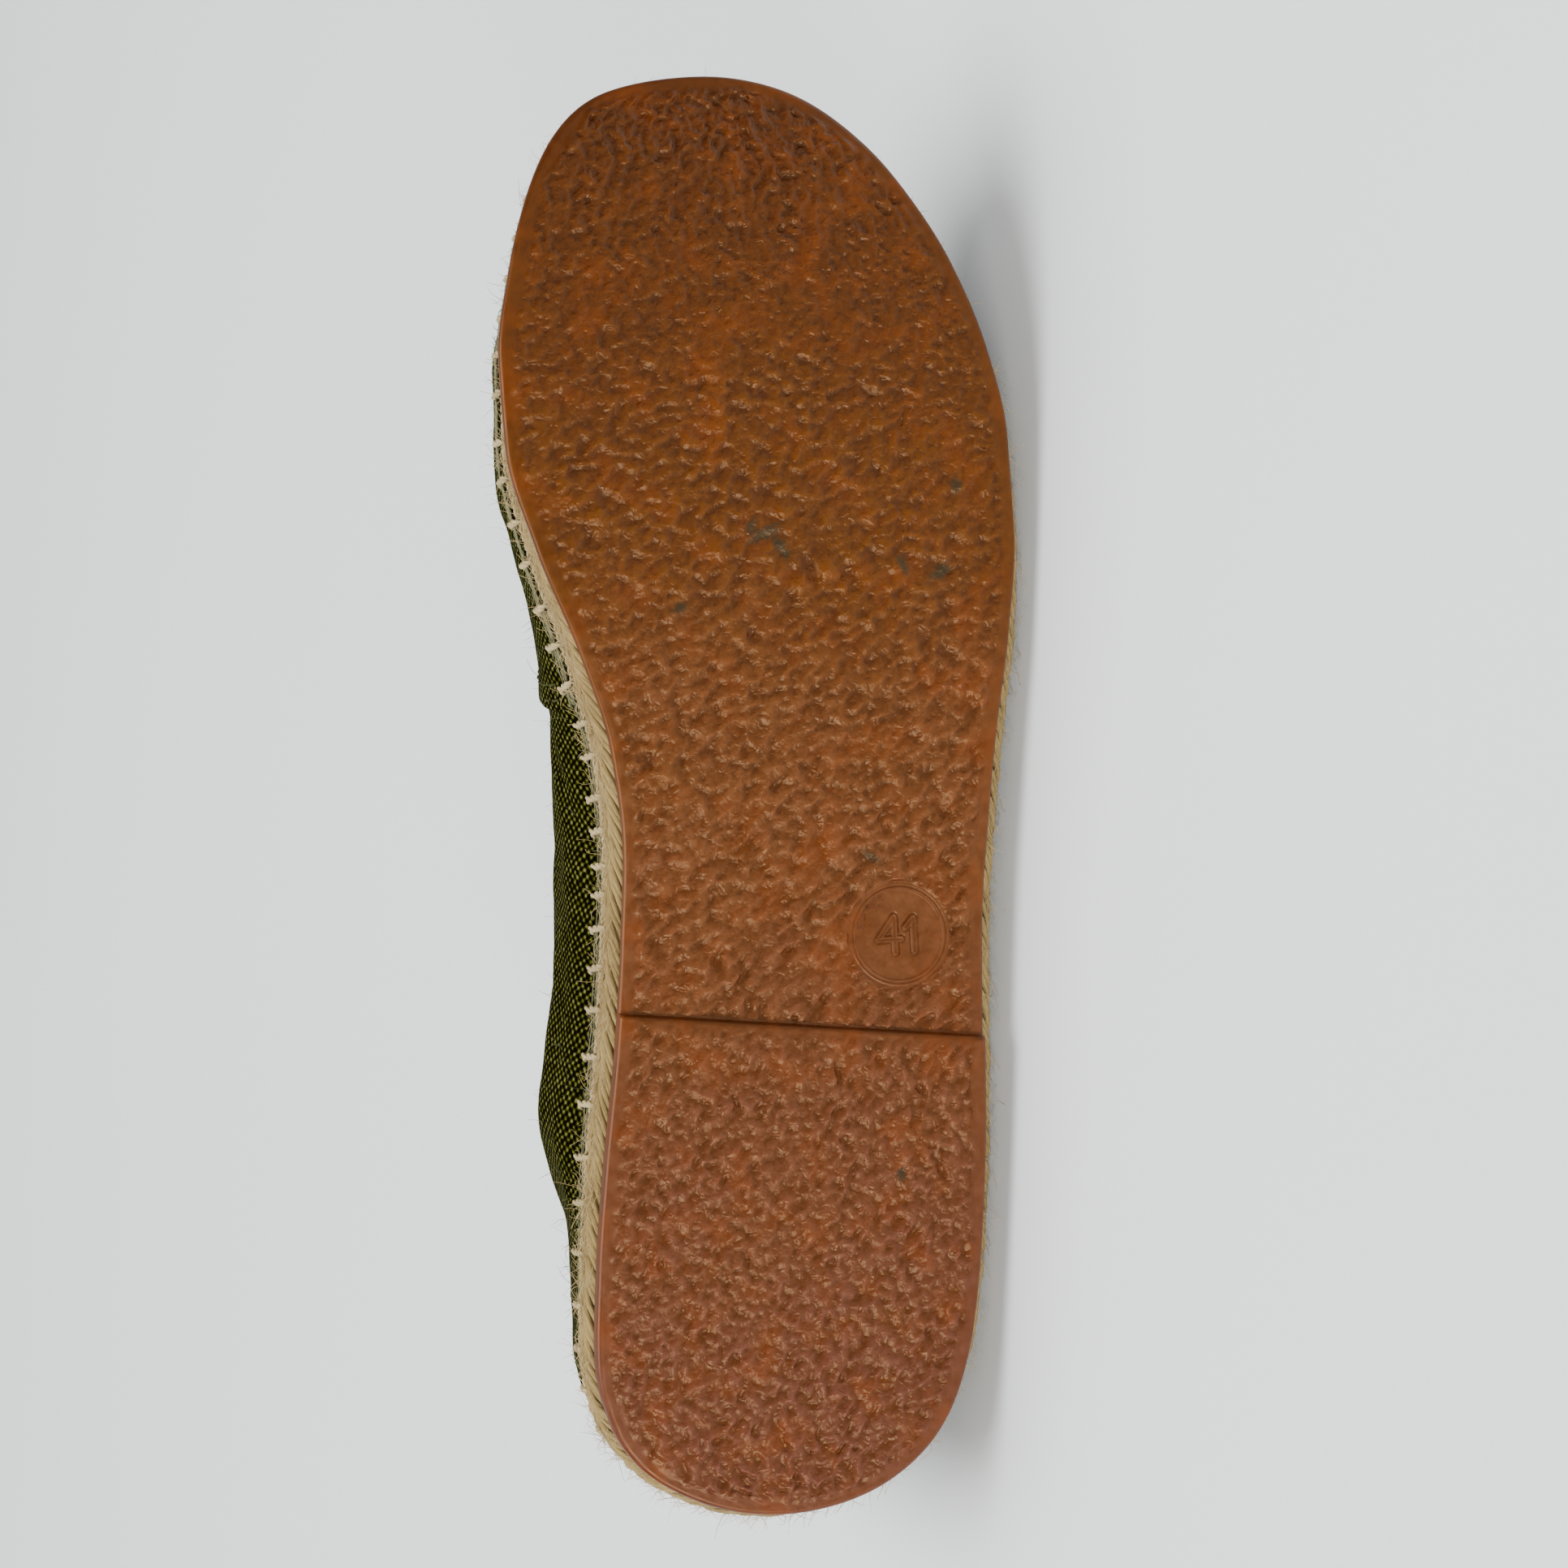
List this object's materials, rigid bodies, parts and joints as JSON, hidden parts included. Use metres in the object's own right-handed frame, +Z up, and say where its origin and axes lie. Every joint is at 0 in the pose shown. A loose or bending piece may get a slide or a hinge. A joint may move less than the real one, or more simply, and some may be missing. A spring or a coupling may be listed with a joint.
{
  "type": "canvas espadrille shoe",
  "caption": "Left-foot canvas slip-on shoe with a jute rope sole, a pebbled rubber tread with a low heel step and an open collar, lying on its lateral side.",
  "frame": {"origin": "middle of the bounding box at floor level, the shoe lying on its lateral side", "axes": "+X towards the toe, +Y the way the shoe's own top points, +Z up from the floor, which is towards the medial side"},
  "size_m": [0.2786, 0.08, 0.1052],
  "materials": {
    "tread_rubber": "amber natural rubber, pebbled, satin gloss",
    "jute_rope": "braided jute, matt with loose fibres",
    "insole_fabric": "plain woven sock, matt",
    "canvas": "coarse olive canvas, matt",
    "stitch_twine": "cream two-ply twine, matt"
  },
  "bodies": {
    "root": {"outsole": "tread_rubber", "midsole": "jute_rope", "insole": "insole_fabric", "upper": "canvas"}
  },
  "joints": []
}
